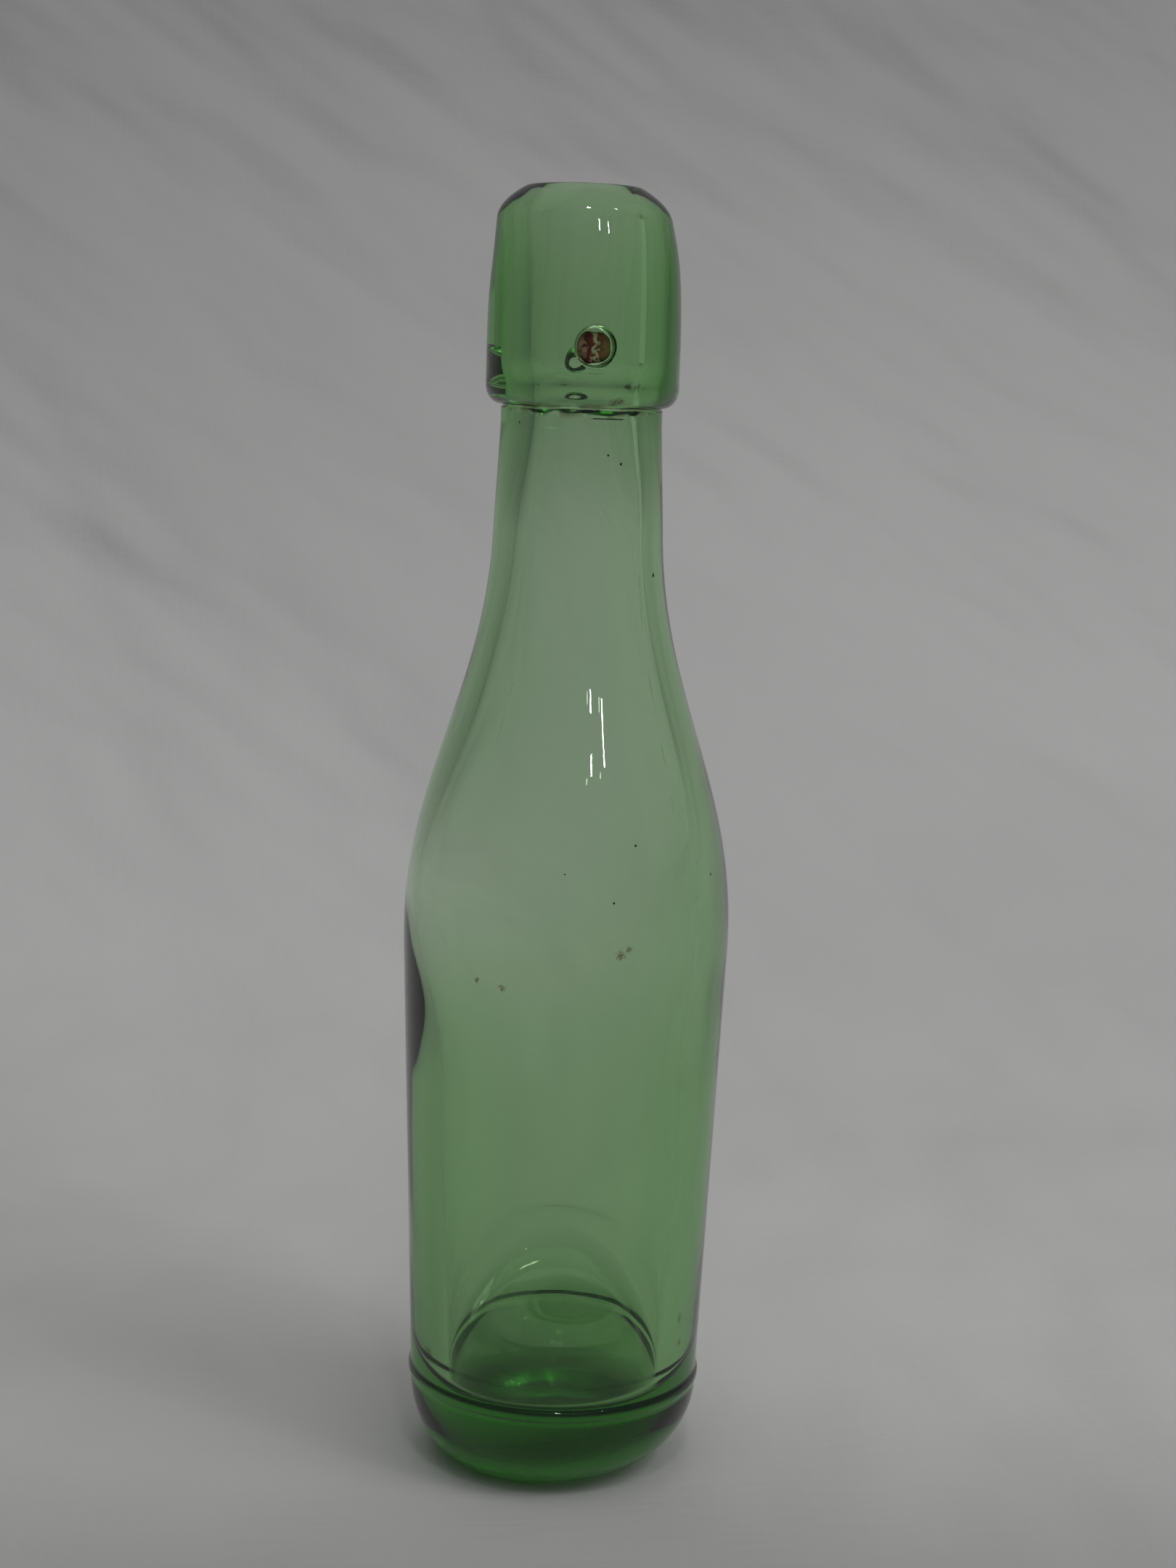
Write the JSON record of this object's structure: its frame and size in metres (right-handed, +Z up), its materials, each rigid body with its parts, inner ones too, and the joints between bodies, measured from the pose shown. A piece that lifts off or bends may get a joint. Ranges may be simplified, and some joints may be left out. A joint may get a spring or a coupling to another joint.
{
  "type": "glass soda bottle",
  "caption": "Small green glass soda bottle with a thick rounded lip for a swing stopper, sloping shoulders, a slightly tapered body and a rounded heel.",
  "frame": {"origin": "centre of the base, on the plane the bottle stands on", "axes": "+Z up along the bottle's axis, -Y towards the front wire pivot, +X to the right of it"},
  "size_m": [0.0518, 0.0518, 0.203],
  "materials": {
    "body_glass": "clear pale green glass, deep green in the thick base, with light wash lines and a dull bloom",
    "lip_glass": "clear green glass, fire-polished rim, a little deeper than the body because it is thicker",
    "wire_rust": "matt, crumbling red-brown iron rust"
  },
  "bodies": {
    "root": {"bottle_body": "body_glass", "applied_lip": "lip_glass", "front_pivot_rust": "wire_rust", "rear_pivot_rust": "wire_rust"}
  },
  "joints": []
}
